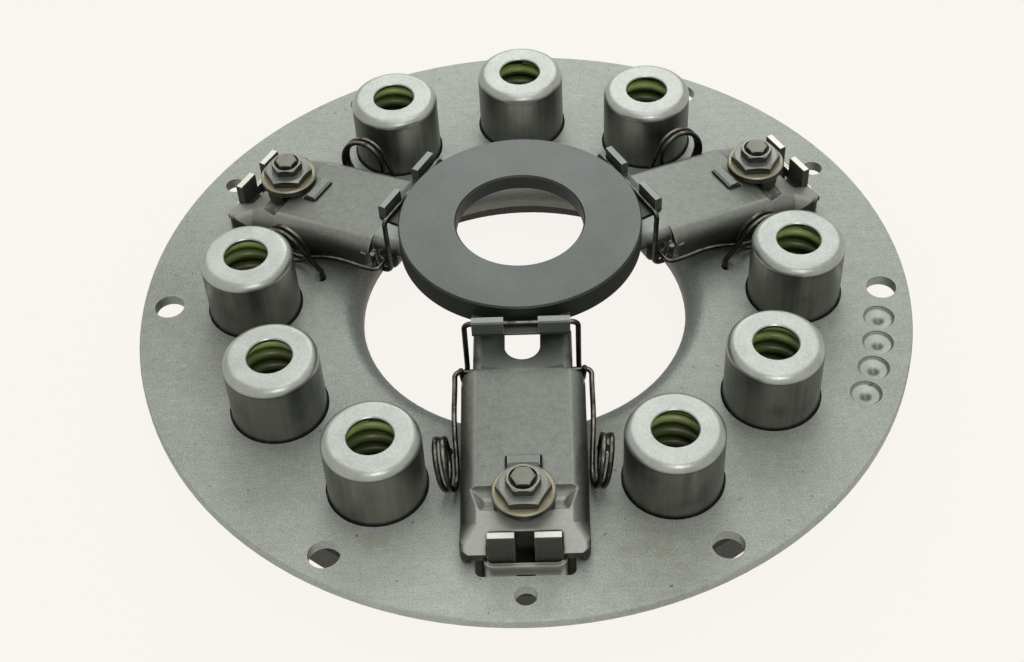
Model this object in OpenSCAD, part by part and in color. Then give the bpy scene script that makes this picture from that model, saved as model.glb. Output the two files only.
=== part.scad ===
// Clutch pressure plate with nine coil pressure springs and three release levers.
// Millimetres. The origin is the centre of the mounting holes on the cover's mounting face.
// +Z points to the release side, and the first lever lies along -Y.

/* [Cover] */
// Outer diameter of the cover
cover_d = 300; // [294:1:310]
// Thickness of the cover's sheet
cover_t = 4.6; // [4:0.1:5]
// Clear radius inside the rolled neck
neck_r = 63.5; // [62:0.5:65]
// Bend radius of the neck on its upper side
neck_bend_r = 8.5; // [7.5:0.5:9.5]
// How far the neck's end lies below the mounting face
neck_drop = 6.5; // [5:0.5:7.5]
// Distance of the mounting holes' centres from the cover's edge
mount_edge = 10.5; // [9.5:0.1:11.5]
// Diameter of a mounting hole
mount_hole_d = 11.7; // [10:0.1:12.5]
// Distance of the dowel holes' centres from the cover's edge
dowel_edge = 10.2; // [9:0.1:11]
// Diameter of a dowel hole
dowel_hole_d = 8; // [6:0.5:9]
// Diameter of a punched inspection dimple
dimple_d = 12; // [9:0.5:12.5]
// Depth of a punched inspection dimple
dimple_depth = 3; // [2:0.1:3.4]
// Half width of a lever window
window_half = 17.4; // [16.8:0.1:18]
// Gap between a lever window's outer edge and the lug's leaf
window_gap = 1.8; // [1.4:0.1:2.9]

/* [Pressure springs] */
// Outer diameter of a spring cup
cup_d = 35.5; // [34:0.1:36.2]
// Height of a cup's top above the mounting face
cup_top_z = 32.3; // [30:0.1:34]
// Sheet thickness of a cup
cup_wall = 1.4; // [1:0.1:1.6]
// Diameter of the hole in a cup's top
cup_hole_d = 16.6; // [14:0.1:18]
// Outer radius of the cup's drawn shoulder
cup_shoulder_r = 3.5; // [3:0.5:6]
// Diameter of the spring's wire
spring_wire_d = 4.8; // [4.3:0.1:5]
// Number of coils of a pressure spring
spring_coils = 5.8; // [5.4:0.1:6.2]
// Gap between a lever's torsion spring and the spring cup beside it
cup_gap = 3.05; // [2.8:0.05:3.6]

/* [Pressure plate] */
// Outer diameter of the cast pressure plate
plate_d = 260; // [256:1:264]
// Bore of the pressure plate
plate_bore_d = 156; // [150:1:160]
// Depth of the plate's flank below the mounting face
plate_drop = 9.5; // [9:0.1:10.5]
// Thickness of the plate under its lugs
plate_t = 15; // [12:0.5:18]
// Height of a lug's cheeks above the mounting face
lug_top_z = 8.5; // [8:0.1:8.8]
// Height of the two guide prongs above the mounting face
prong_top_z = 19.9; // [18:0.1:21]
// Radial thickness of a guide prong
prong_t = 3; // [2.5:0.1:3.4]
// Width of the slot between a lug's cheeks
lug_slot_w = 6.8; // [6.4:0.1:7.2]

/* [Release levers] */
// Sheet thickness of a lever
lever_t = 4; // [3.6:0.1:4.2]
// Height of a lever's flat tip above the mounting face
tip_z = 26.5; // [26:0.1:27.5]
// Half width of the channel over its flanges
channel_half = 22.6; // [22:0.1:22.8]
// Half width of the neck over its ears
neck_half = 18.2; // [17.8:0.1:18.6]
// Radius from the clutch's axis to the levers' fulcrum
fulcrum_r = 95; // [94.5:0.1:95.5]
// Distance from the fulcrum to the lever bolt
bolt_arm = 14.4; // [14.2:0.1:14.8]
// Slope of the lever's long arm
arm_slope = 9.13; // [8.8:0.05:9.4]
// Slope of the lever's short outer end
end_slope = 19.3; // [18:0.1:20]

/* [Lever bolts] */
// Thread diameter of a lever bolt
bolt_d = 10; // [9:0.5:10]
// Width of the nut across its flats
nut_af = 17; // [16:0.5:18]
// Thickness of the nut's hexagon
nut_hex_t = 3.2; // [3:0.1:4]
// Height of the nut's staked collar
nut_collar_h = 3.2; // [2.5:0.1:3.6]
// Width of the hexagon at the bolt's end across its flats
bolt_hex_af = 7.5; // [6.5:0.1:8]
// Diameter of the rocker washer
washer_d = 22.4; // [21.5:0.1:22.6]
// Thickness of the rocker washer
washer_t = 3.2; // [2.8:0.1:3.6]
// Diameter of the pin through the bolt's eye
pin_d = 7; // [6:0.1:7.4]

/* [Release ring] */
// Outer diameter of the release ring
ring_d = 91.5; // [89:0.5:92]
// Bore of the release ring
ring_bore_d = 48; // [46:0.5:50]
// Thickness of the release ring
ring_t = 10.2; // [9.5:0.1:11]
// Height of the bore's straight wall above the turned recess
bore_land = 6.4; // [5:0.1:7.5]
// Gap between the ring's underside and the levers' tips
ring_gap = 9.9; // [9.5:0.1:10.5]

/* [Wire springs] */
// Diameter of the wire of bails and torsion springs
wire_d = 2; // [1.8:0.1:2.1]
// Mean diameter of a torsion spring's coil
torsion_d = 18.3; // [17:0.1:18.6]
// Lean of a torsion spring's turns away from the lever
torsion_lean = 2.7; // [2:0.1:3.2]

/* [Hidden] */
$fn = 96;
LEVERS = 3;
SPRINGS = 9;
lever_angles = [-90, 30, 150];
spring_step = 30;
spring_angles = [for (i = [0:LEVERS - 1], k = [-1:1]) -30 + 120 * i + spring_step * k];
// Azimuths that the pressure springs' upper ends point to
spring_tips = [126, 162, 72, 54, 83, 306, 270, 288, 97];
mount_holes = 6;
mount_pcd = cover_d - 2 * mount_edge;
dowel_circle_r = cover_d / 2 - dowel_edge;
// Azimuths of the punched dimples
dimple_angles = [for (i = [0:3]) -6.7 - 5.5 * i];
dimple_circle_r = cover_d / 2 - 12.8;

// Clearances
fit_gap = 0.05;
rock_gap = 0.3;
wash_gap = 0.4;
side_gap = 0.5;
cut = 1;

// Lever centre line: flat tip, long arm, short outer end
shoulder_r = 57;
kink_r = 104.5;
lever_tip_r = 36;
kink_z = tip_z - (kink_r - shoulder_r) * tan(arm_slope);
function web_z(r) =
    r < shoulder_r ? tip_z
    : r < kink_r ? tip_z - (r - shoulder_r) * tan(arm_slope)
    : kink_z - (r - kink_r) * tan(end_slope);
// Flange bends: half the width of the crown that the web cuts off, and where they open outward
flange_bend_r = 9;
flange_sag = 0.55;
crown_half = sqrt(flange_sag * (2 * flange_bend_r - flange_sag));

// Fulcrum: the tongue's rounded shoulders carry the lever's underside
tongue_t = cover_t;
tongue_half = 12;
tab_half = 5.7;
tab_rise = 1.9;
tongue_bend_r = 3;
pivot_z = web_z(fulcrum_r) - (lever_t + tongue_t / 2 + rock_gap) / cos(arm_slope);

// Bolt, groove and rocker washer
bolt_r = fulcrum_r + bolt_arm;
groove_r = 6;
groove_sink = 1.95;
groove_half = 13.6;
groove_end_run = 3.8;
groove_z = web_z(bolt_r) - groove_sink;
washer_lift = 5.3;
rocker_r = 3.5;
washer_z = groove_z + washer_lift;
nut_z = washer_z + washer_t + fit_gap;
collar_z = nut_z + nut_hex_t;
bolt_top_z = collar_z + nut_collar_h + 1.3;
eye_t = lug_slot_w - 2 * fit_gap - 0.3;
eye_r = 7.2;
pin_z = 0;
lever_hole_d = bolt_d + 3;

// Lug and its leaf
opened_r = bolt_r + 7;
lug_half = 12.7;
lug_inner_r = bolt_r - 8.4;
prong_gap = 3.7;
lug_outer_r = bolt_r + washer_d / 2 + prong_gap + prong_t;
notch_half = lug_half + side_gap;
notch_r = lug_outer_r - prong_t - 4.8;
lever_end_r = lug_outer_r + 0.3;
leaf_t = 1.5;
leaf_gap = 0.2;
leaf_face_gap = 1.3;
leaf_top_z = 7.7;
leaf_arm_top_z = 5.4;
leaf_bottom_z = -2;
leaf_notch_h = 5;
leaf_arm_r = lug_inner_r + 3;
window_outer_r = lug_outer_r + leaf_face_gap + leaf_t + window_gap;

// Plate
plate_top_z = -plate_drop;
plate_bottom_z = plate_top_z - plate_t;

// Spring cup and pressure spring
cup_r = cup_d / 2;
cup_flange_r = 22;
cup_hole_gap = 0.85;
spring_r = cup_r - cup_wall - 1.2;
spring_top_z = cup_top_z - cup_wall - fit_gap;
spring_bottom_z = plate_top_z + fit_gap;
spigot_r = spring_r - spring_wire_d - 0.8;
spigot_h = 4;

// Release ring
ring_r = ring_d / 2;
ring_z = tip_z + ring_gap;
ring_top_z = ring_z + ring_t;
rib_r = 39.5;
rib_half = 16;
groove_floor_z = ring_top_z - 6.8;
lug_floor_z = ring_z + 1.6;
lip_t = 2.9;
lip_half = 17.6;
lip_gap_half = 6.2;
lip_r = ring_r + 3.4;
lip_top_z = ring_top_z - 1.1;

// Wires
wire_r = wire_d / 2;
wire_sides = 6;
bar_r = lip_r - wire_r - 0.15;
bar_z = groove_floor_z + wire_r + 0.2;
leg_s = neck_half + 2.3;
ear_r = shoulder_r - 6;
ear_z = tip_z - 6.5;
ear_hole_d = 6;
ear_lobe_r = 6.3;
eyelet = [ear_r - 0.4, ear_z - 1.8];
hook_r = 3.4;
torsion_r = torsion_d / 2;
torsion_mid = [fulcrum_r - 3.5, 16];
torsion_pitch = wire_d + 0.7;
torsion_s = channel_half + wire_r + 0.5;
torsion_leg_s = torsion_s + 1;
wire_hole_d = 5;
wire_hole = [fulcrum_r - 18, torsion_s + 4.3];
wire_end_r = wire_hole[0] - 1.1;
wire_end_z = -3.5;

// The springs' circle keeps the cups clear of the torsion springs
torsion_side = torsion_s + 1.5 * torsion_pitch + torsion_lean + wire_r;
spring_circle_r = (torsion_side + cup_gap + cup_r) / sin(spring_step);

// Places a shape drawn along +X, with its side offset along Y, at lever i
module at_lever(i) {
    rotate([0, 0, lever_angles[i - 1]]) children();
}

// Places a shape drawn on the Z axis at spring i
module at_spring(i) {
    rotate([0, 0, spring_angles[i - 1]]) translate([spring_circle_r, 0, 0]) children();
}

// Extrudes a profile drawn as (radius, height) sideways, from -half to half
module across(half) {
    rotate([90, 0, 0]) translate([0, 0, -half]) linear_extrude(2 * half) children();
}

// Points of an arc about a centre, from angle a to angle b
function arc(centre, r, a, b, steps = 12) =
    [for (i = [0:steps]) centre + r * [cos(a + (b - a) * i / steps), sin(a + (b - a) * i / steps)]];

// Unit vector
function unit(v) = v / norm(v);

// Points that round the corner b of the path a, b, c
function rounded(a, b, c, r, steps) =
    let (
        u = unit(a - b),
        w = unit(c - b),
        half = acos(u * w) / 2,
        start = b + u * r / tan(half),
        centre = b + unit(u + w) * r / sin(half),
        x = unit(start - centre),
        y = unit(-u - (-u * x) * x),
        sweep = 180 - 2 * half
    )
    [for (i = [0:steps]) centre + r * (cos(sweep * i / steps) * x + sin(sweep * i / steps) * y)];

// Path through points with every inner corner rounded
function wire_path(p, r, steps = 4) = [
    p[0],
    for (i = [1:len(p) - 2]) each rounded(p[i - 1], p[i], p[i + 1], r, steps),
    p[len(p) - 1]
];

// Round wire along a path: a ring of points at each path point, carried without twist
module wire(path, r, sides) {
    count = len(path);
    tangents = [for (i = [0:count - 1]) unit(path[min(i + 1, count - 1)] - path[max(i - 1, 0)])];
    first = unit(cross(tangents[0], [0.31, 0.47, 0.83]));
    sideways = [
        for (
            i = 0, n = first;
            i < count;
            i = i + 1, n = i < count ? unit(n - (n * tangents[i]) * tangents[i]) : n
        ) n
    ];
    rings = [
        for (i = [0:count - 1], k = [0:sides - 1])
            let (a = 360 * k / sides)
            path[i] + r * (cos(a) * sideways[i] + sin(a) * cross(tangents[i], sideways[i]))
    ];
    walls = [
        for (i = [0:count - 2], k = [0:sides - 1])
            let (next = (k + 1) % sides, near = i * sides, far = near + sides)
            each [[near + k, far + k, far + next], [near + k, far + next, near + next]]
    ];
    ends = [
        [for (k = [0:sides - 1]) k],
        [for (k = [sides - 1:-1:0]) (count - 1) * sides + k]
    ];
    polyhedron(rings, concat(walls, ends), convexity = 8);
}

// Rectangle in (radius, side) with round corners, drawn as exact arcs
module round_rect(r0, r1, half, corner) {
    translate([r0 + corner, -half]) square([r1 - r0 - 2 * corner, 2 * half]);
    translate([r0, -half + corner]) square([r1 - r0, 2 * (half - corner)]);
    for (r = [r0 + corner, r1 - corner], s = [-half + corner, half - corner])
        translate([r, s]) circle(corner);
}

// Cover: revolved sheet with the rolled neck, three windows with their tongues, and the holes
module cover_plate() {
    color("darkgray") {
        difference() {
            cover_sheet();
            for (i = [1:LEVERS]) at_lever(i) window_cuts();
            for (i = [1:SPRINGS]) at_spring(i)
                translate([0, 0, -cut]) cylinder(h = cover_t + 2 * cut, r = cup_r + cup_hole_gap);
            for (i = [0:mount_holes - 1]) rotate([0, 0, i * 360 / mount_holes])
                translate([mount_pcd / 2, 0, -cut]) cylinder(h = cover_t + 2 * cut, d = mount_hole_d);
            for (a = dimple_angles) rotate([0, 0, a]) translate([dimple_circle_r, 0, 0]) dimple();
        }
        for (i = [1:LEVERS]) at_lever(i) tongue();
    }
}

module cover_sheet() {
    edge = 0.5;
    bend_mid = [neck_r + neck_bend_r, cover_t - neck_bend_r];
    rotate_extrude() polygon(concat(
        [[neck_r + edge, -neck_drop], [neck_r, edge - neck_drop]],
        arc(bend_mid, neck_bend_r, 180, 90),
        [[cover_d / 2 - edge, cover_t], [cover_d / 2, cover_t - edge], [cover_d / 2, edge],
            [cover_d / 2 - edge, 0]],
        arc(bend_mid, neck_bend_r - cover_t, 90, 180),
        [[neck_r + cover_t, edge - neck_drop], [neck_r + cover_t - edge, -neck_drop]]
    ));
}

// Punched dimple: a short upright wall above a shallow cone
module dimple() {
    wall = 0.9;
    translate([0, 0, cover_t - dimple_depth])
        cylinder(h = dimple_depth - wall, r1 = 0.6, r2 = dimple_d / 2);
    translate([0, 0, cover_t - wall]) cylinder(h = wall + cut, d = dimple_d);
}

// Window, dowel hole and the two holes for the torsion springs' legs
module window_cuts() {
    translate([0, 0, -cut]) linear_extrude(cover_t + 2 * cut) {
        round_rect(fulcrum_r - 9, window_outer_r, window_half, 2.5);
        translate([dowel_circle_r, 0]) circle(d = dowel_hole_d);
        for (side = [-1, 1]) translate([wire_hole[0], side * wire_hole[1]]) circle(d = wire_hole_d);
    }
}

// Tongue bent up from the window's inner edge: two shoulders carry the lever, a tab keeps it in place
module tongue() {
    root_r = fulcrum_r - 12;
    inner_r = fulcrum_r - tongue_t / 2;
    outer_r = fulcrum_r + tongue_t / 2;
    bend_mid = [inner_r - tongue_bend_r, cover_t + tongue_bend_r];
    across(tongue_half) {
        polygon(concat(
            [[root_r, cover_t], [root_r, 0]],
            arc(bend_mid, tongue_bend_r + tongue_t, -90, 0),
            [[outer_r, pivot_z], [inner_r, pivot_z]],
            arc(bend_mid, tongue_bend_r, 0, -90)
        ));
        translate([fulcrum_r, pivot_z]) circle(tongue_t / 2);
    }
    tab_z = web_z(fulcrum_r) + tab_rise;
    across(tab_half) polygon([
        [inner_r, pivot_z - 2], [outer_r, pivot_z - 2], [outer_r, tab_z - 0.8],
        [outer_r - 0.8, tab_z], [inner_r + 0.8, tab_z], [inner_r, tab_z - 0.8]
    ]);
}

// Deep-drawn cup: flange under the cover, straight wall, round shoulder, open top
module spring_cup() {
    foot_r = 0.8;
    shoulder_mid = [cup_r - cup_shoulder_r, cup_top_z - cup_shoulder_r];
    inner_top = cup_top_z - cup_wall;
    color("lightgray") rotate_extrude() polygon(concat(
        [[cup_r - cup_wall, -cup_wall], [cup_flange_r, -cup_wall], [cup_flange_r, -fit_gap]],
        arc([cup_r + foot_r, foot_r - fit_gap], foot_r, -90, -180),
        arc(shoulder_mid, cup_shoulder_r, 0, 90),
        [[cup_hole_d / 2 + 0.4, cup_top_z], [cup_hole_d / 2, cup_top_z - 0.4],
            [cup_hole_d / 2, inner_top]],
        arc(shoulder_mid, cup_shoulder_r - cup_wall, 90, 0)
    ));
}

// Coil spring with closed end coils, whose upper end points along +X
module pressure_spring() {
    steps = 12;
    rise = spring_wire_d + 0.1;
    mean_r = spring_r - spring_wire_d / 2;
    low = spring_bottom_z + spring_wire_d / 2;
    height = spring_top_z - spring_wire_d / 2 - low;
    active = spring_coils - 2;
    function height_at(t) =
        t < 1 ? rise * t
        : t > spring_coils - 1 ? height - rise * (spring_coils - t)
        : rise + (height - 2 * rise) * (t - 1) / active;
    count = round(spring_coils * steps);
    color("yellowgreen") wire(
        [for (i = [0:count])
            let (t = spring_coils * i / count, a = 360 * (t - spring_coils))
            [mean_r * cos(a), mean_r * sin(a), low + height_at(t)]],
        spring_wire_d / 2, wire_sides
    );
}

// Cast ring with a lug under each lever and a spigot inside each spring
module pressure_plate() {
    edge = 1;
    inner = plate_bore_d / 2;
    outer = plate_d / 2;
    color("dimgray") difference() {
        union() {
            rotate_extrude() polygon([
                [inner + edge, plate_bottom_z], [outer - edge, plate_bottom_z],
                [outer, plate_bottom_z + edge], [outer, plate_top_z - edge],
                [outer - edge, plate_top_z], [inner + 2 * edge, plate_top_z],
                [inner, plate_top_z - 2 * edge], [inner, plate_bottom_z + edge]
            ]);
            for (i = [1:SPRINGS]) at_spring(i) translate([0, 0, plate_top_z - cut]) {
                cylinder(h = spigot_h - edge + cut, r = spigot_r);
                translate([0, 0, spigot_h - edge + cut])
                    cylinder(h = edge, r1 = spigot_r, r2 = spigot_r - edge);
            }
            for (i = [1:LEVERS]) at_lever(i) lug();
        }
        for (i = [1:LEVERS]) at_lever(i) lug_cuts();
    }
}

// Clevis lug that reaches up through the window, with two prongs that guide the lever's notch
module lug() {
    edge = 0.3;
    foot_half = window_half - 2;
    foot_top_z = leaf_bottom_z - 0.5;
    translate([0, 0, plate_top_z - cut]) linear_extrude(foot_top_z - plate_top_z + cut)
        round_rect(lug_inner_r - 2, lug_outer_r + 1.5, foot_half, 3);
    across(lug_half) polygon(concat(
        [[lug_inner_r, foot_top_z - cut], [lug_outer_r, foot_top_z - cut],
            [lug_outer_r, prong_top_z - edge], [lug_outer_r - edge, prong_top_z],
            [lug_outer_r - prong_t + edge, prong_top_z], [lug_outer_r - prong_t, prong_top_z - edge]],
        arc([lug_outer_r - prong_t - 2, lug_top_z + 2], 2, 0, -90),
        arc([lug_inner_r + 3, lug_top_z - 3], 3, 90, 180)
    ));
}

// Slot for the bolt's eye, and the cross hole for its pin
module lug_cuts() {
    slot_floor = pin_z - eye_r - 0.6;
    translate([lug_inner_r - 2 * cut - 2, -lug_slot_w / 2, slot_floor])
        cube([lug_outer_r - lug_inner_r + 8, lug_slot_w, prong_top_z - slot_floor + cut]);
    translate([bolt_r, 0, pin_z]) rotate([90, 0, 0])
        cylinder(h = 2 * window_half, d = pin_d + 2 * fit_gap, center = true);
    translate([bolt_r, 0, lug_top_z - 3]) cylinder(h = 3 + cut, d = bolt_d + 1.4);
}

// U-shaped leaf that clasps the lug's outer end and covers the pin's ends
module lug_leaf() {
    inner_half = lug_half + leaf_gap;
    outer_half = inner_half + leaf_t;
    face_r = lug_outer_r + leaf_face_gap;
    color("gray") intersection() {
        translate([0, 0, leaf_bottom_z]) linear_extrude(leaf_top_z - leaf_bottom_z) difference() {
            round_rect(leaf_arm_r - 10, face_r + leaf_t, outer_half, 3.4);
            round_rect(leaf_arm_r - 12, face_r, inner_half, 3.4 - leaf_t);
            translate([leaf_arm_r - 15, -2 * outer_half]) square([15, 4 * outer_half]);
        }
        across(outer_half + 1) polygon([
            [leaf_arm_r - 1, leaf_bottom_z], [face_r + leaf_t + 1, leaf_bottom_z],
            [face_r + leaf_t + 1, leaf_top_z + 1], [face_r - 0.8, leaf_top_z + 1],
            [face_r - 0.8, leaf_top_z], [face_r - 4, leaf_arm_top_z], [leaf_arm_r - 1, leaf_arm_top_z]
        ]);
        difference() {
            translate([leaf_arm_r - 2, -2 * outer_half, leaf_bottom_z - 1])
                cube([face_r + 10 - leaf_arm_r, 4 * outer_half, leaf_top_z - leaf_bottom_z + 3]);
            translate([face_r - 2, -lug_slot_w / 2, leaf_bottom_z - cut])
                cube([leaf_t + 5, lug_slot_w, leaf_notch_h + cut]);
        }
    }
}

// Pin through the lug's cheeks and the bolt's eye
module bolt_pin() {
    chamfer = 0.6;
    color("silver") translate([bolt_r, 0, pin_z]) rotate([90, 0, 0]) {
        half = lug_half - 0.1;
        translate([0, 0, chamfer - half]) cylinder(h = 2 * (half - chamfer), d = pin_d);
        for (side = [-1, 1]) scale([1, 1, side]) translate([0, 0, half - chamfer])
            cylinder(h = chamfer, r1 = pin_d / 2, r2 = pin_d / 2 - chamfer);
    }
}

// Bolt with a flat eye below, a threaded shank above and a small hexagon at its end
module lever_bolt() {
    neck_w = bolt_d - 1;
    shank_z = lug_top_z - 2.5;
    thread_top_z = collar_z + nut_collar_h - 1.2;
    hex_d = bolt_hex_af / cos(30);
    edge = 0.4;
    color("dimgray") translate([bolt_r, 0, 0]) difference() {
        union() {
            across(eye_t / 2) {
                translate([0, pin_z]) circle(eye_r);
                translate([-neck_w / 2, pin_z]) square([neck_w, shank_z + 1 - pin_z]);
            }
            translate([0, 0, shank_z]) cylinder(h = thread_top_z - shank_z, d = bolt_d);
            intersection() {
                translate([0, 0, thread_top_z - cut]) rotate([0, 0, 30])
                    cylinder(h = bolt_top_z - thread_top_z + cut, d = hex_d, $fn = 6);
                rotate_extrude() polygon([
                    [0, shank_z], [hex_d / 2, shank_z], [hex_d / 2, bolt_top_z - edge],
                    [bolt_hex_af / 2 - edge / 2, bolt_top_z], [0, bolt_top_z]
                ]);
            }
        }
        translate([0, 0, pin_z]) rotate([90, 0, 0])
            cylinder(h = 2 * eye_t, d = pin_d + 2 * fit_gap, center = true);
    }
}

// Hexagon nut with chamfered corners and a collar that is staked to the bolt with six flats
module lever_nut() {
    hex_d = nut_af / cos(30);
    chamfer = 0.8;
    collar_d = bolt_d + 2.4;
    collar_hex_d = (bolt_d + 1.3) / cos(30);
    edge = 0.5;
    color("silver") translate([bolt_r, 0, nut_z]) difference() {
        union() {
            intersection() {
                rotate([0, 0, 30]) cylinder(h = nut_hex_t, d = hex_d, $fn = 6);
                rotate_extrude() polygon([
                    [0, 0], [hex_d / 2, 0], [hex_d / 2, nut_hex_t - chamfer],
                    [nut_af / 2 - 0.2, nut_hex_t], [0, nut_hex_t]
                ]);
            }
            intersection() {
                translate([0, 0, nut_hex_t - cut]) rotate([0, 0, 30])
                    cylinder(h = nut_collar_h + cut, d = collar_hex_d, $fn = 6);
                rotate_extrude() polygon([
                    [0, 0], [collar_d / 2, 0], [collar_d / 2, nut_hex_t + nut_collar_h - edge],
                    [collar_d / 2 - edge, nut_hex_t + nut_collar_h], [0, nut_hex_t + nut_collar_h]
                ]);
            }
        }
        translate([0, 0, -cut]) cylinder(h = nut_hex_t + nut_collar_h + 2 * cut, d = bolt_d + 2 * fit_gap);
    }
}

// Washer with a half-round rocker under it that sits in the lever's groove
module lever_washer() {
    chamfer = 0.5;
    color("darkkhaki") translate([bolt_r, 0, 0]) difference() {
        union() {
            translate([0, 0, washer_z]) rotate_extrude() polygon([
                [0, 0], [washer_d / 2 - chamfer, 0], [washer_d / 2, chamfer],
                [washer_d / 2, washer_t - chamfer], [washer_d / 2 - chamfer, washer_t], [0, washer_t]
            ]);
            intersection() {
                across(washer_d / 2) {
                    translate([0, groove_z + wash_gap + rocker_r]) circle(rocker_r);
                    translate([-rocker_r, groove_z + wash_gap + rocker_r])
                        square([2 * rocker_r, washer_lift - rocker_r]);
                }
                translate([0, 0, groove_z]) cylinder(h = washer_lift + cut, r = washer_d / 2 - chamfer);
            }
        }
        translate([0, 0, groove_z - cut])
            cylinder(h = washer_lift + washer_t + 2 * cut, d = bolt_d + 0.8);
    }
}

// Everything under a sheet's top at 0 and inside its bend, which reaches out to 0.
// The top cuts off the bend's crown by sag, which leaves a crisp line.
module bend_side(bend_r, sag) {
    reach = 60;
    intersection() {
        union() {
            translate([-reach, -reach]) square([reach, reach + sag - bend_r]);
            translate([-reach, -reach]) square([reach - bend_r, reach]);
            translate([-bend_r, sag - bend_r]) circle(bend_r);
        }
        translate([-reach, -reach]) square(reach);
    }
}

module channel_outline(half, bend_r, sag) {
    intersection() {
        translate([half, 0]) bend_side(bend_r, sag);
        mirror([1, 0]) translate([half, 0]) bend_side(bend_r, sag);
    }
}

// Cross-section of a channel: web, two bends and two flanges
module channel(half, bend_r, sag) {
    difference() {
        channel_outline(half, bend_r, sag);
        translate([0, -lever_t])
            channel_outline(half - lever_t, max(bend_r - lever_t, 0.4), bend_r > lever_t ? sag : 0);
    }
}

// Length of channel that starts at radius r0 and falls outward by slope
module channel_run(r0, r1, slope, half, bend_r, sag) {
    translate([r0, 0, web_z(r0)]) rotate([0, slope, 0]) translate([-8, 0, 0])
        rotate([90, 0, 90]) linear_extrude((r1 - r0) / cos(slope) + 16) channel(half, bend_r, sag);
}

// Everything under the outer end's top and inside a bend on one side that opens outward
module opened_bend(side) {
    opening = 30;
    length = 120;
    line_s = channel_half - flange_bend_r + crown_half - 0.4;
    translate([opened_r, 0, web_z(opened_r)]) rotate([0, end_slope, 0]) scale([1, side, 1])
        translate([0, line_s, 0]) rotate([0, 0, opening]) translate([-length / 2, 0, 0])
            rotate([90, 0, 90]) linear_extrude(length)
                translate([flange_bend_r - crown_half, 0]) bend_side(flange_bend_r, flange_sag);
}

// Point h below the web's top on the mitre plane at radius r, moved outward by lap
function mitre(r, slope, h, lap = 0) = [r + lap - h * tan(slope), web_z(r) - h];

// Pressed lever: neck with two ears, sloping channel, short outer end with the rocker groove
module release_lever() {
    flange_z = 8;
    above = 8;
    neck_slope = arm_slope / 2;
    kink_slope = (arm_slope + end_slope) / 2;
    ear_flank_z = 14.6;
    lap = 0.2;
    color("gray") difference() {
        union() {
            intersection() {
                channel_run(lever_tip_r, shoulder_r + 2, 0, neck_half, 5, 0.3);
                across(30) polygon(concat(
                    [[lever_tip_r, tip_z + above], [lever_tip_r, tip_z - lever_t]],
                    [[ear_r - ear_lobe_r - 2, tip_z - lever_t]],
                    arc([ear_r, ear_z], ear_lobe_r, 160, 290),
                    [mitre(shoulder_r, neck_slope, tip_z - ear_flank_z, lap)],
                    [mitre(shoulder_r, neck_slope, -above, lap)]
                ));
            }
            intersection() {
                channel_run(shoulder_r, kink_r, arm_slope, channel_half, flange_bend_r, flange_sag);
                across(30) polygon([
                    mitre(shoulder_r, neck_slope, -above), mitre(shoulder_r, neck_slope, tip_z - 15.5),
                    [shoulder_r + 8, 12.5], [shoulder_r + 22, flange_z],
                    mitre(kink_r, kink_slope, kink_z - flange_z), mitre(kink_r, kink_slope, -above)
                ]);
            }
            intersection() {
                channel_run(kink_r, opened_r, end_slope, channel_half - lap / 4, flange_bend_r, flange_sag);
                across(30) polygon([
                    mitre(kink_r, kink_slope, -above, -lap),
                    mitre(kink_r, kink_slope, kink_z - flange_z, -lap),
                    [opened_r + 3 * lap, flange_z], [opened_r + 3 * lap, kink_z + above]
                ]);
            }
            intersection() {
                channel_run(kink_r, lever_end_r, end_slope, channel_half - lap / 2, 2.2, 0);
                opened_bend(1);
                opened_bend(-1);
                across(30) polygon([
                    [opened_r - 3, kink_z + above], [opened_r - 3, flange_z],
                    [lever_end_r - 7, flange_z], [lever_end_r - 4, 5], [lever_end_r - 1.4, 5],
                    [lever_end_r + 1, web_z(lever_end_r) + above]
                ]);
            }
            groove_bulge();
            for (side = [-1, 1]) scale([1, side, 1]) joggle();
        }
        lever_cuts();
        for (side = [-1, 1]) scale([1, side, 1]) {
            corner_cut(shoulder_r - 1.4, 1, 4);
            corner_cut(lever_end_r + 0.2, -1, 6);
        }
    }
}

// Sheet that steps outward from an ear to the wider flange
module joggle() {
    low = tip_z - 11;
    high = tip_z - 5.5;
    inner = neck_half - lever_t + 0.1;
    outer = channel_half - 0.3;
    translate([0, 0, low]) linear_extrude(high - low) polygon([
        [shoulder_r - 2.5, inner], [shoulder_r - 1.6, neck_half - 0.1], [shoulder_r + 0.5, outer],
        [shoulder_r + 3, outer], [shoulder_r + 3, channel_half - lever_t + 0.3],
        [shoulder_r + 1, channel_half - lever_t + 0.1]
    ]);
}

// Rounds the channel's outside corner at radius r; dir points from the corner into the lever
module corner_cut(r, dir, corner) {
    inset = corner - 0.1;
    translate([0, 0, -cut]) linear_extrude(tip_z + 4 * cut) difference() {
        translate([min(r - dir * cut, r + dir * inset), channel_half - inset])
            square([inset + cut, inset + cut]);
        translate([r + dir * inset, channel_half - inset]) circle(corner);
    }
}

// Underside of the pressed groove
module groove_bulge() {
    half = groove_half + 1.4;
    intersection() {
        translate([bolt_r, 0, groove_z + groove_r]) rotate([90, 0, 0])
            cylinder(h = 2 * half, r = groove_r + lever_t, center = true);
        across(half) polygon([
            [bolt_r - 12, web_z(bolt_r) - 12], [bolt_r + 12, web_z(bolt_r) - 12],
            [bolt_r + 12, web_z(bolt_r + 12) - 1], [kink_r, kink_z - 1],
            [bolt_r - 12, web_z(bolt_r - 12) - 1]
        ]);
    }
}

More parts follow.
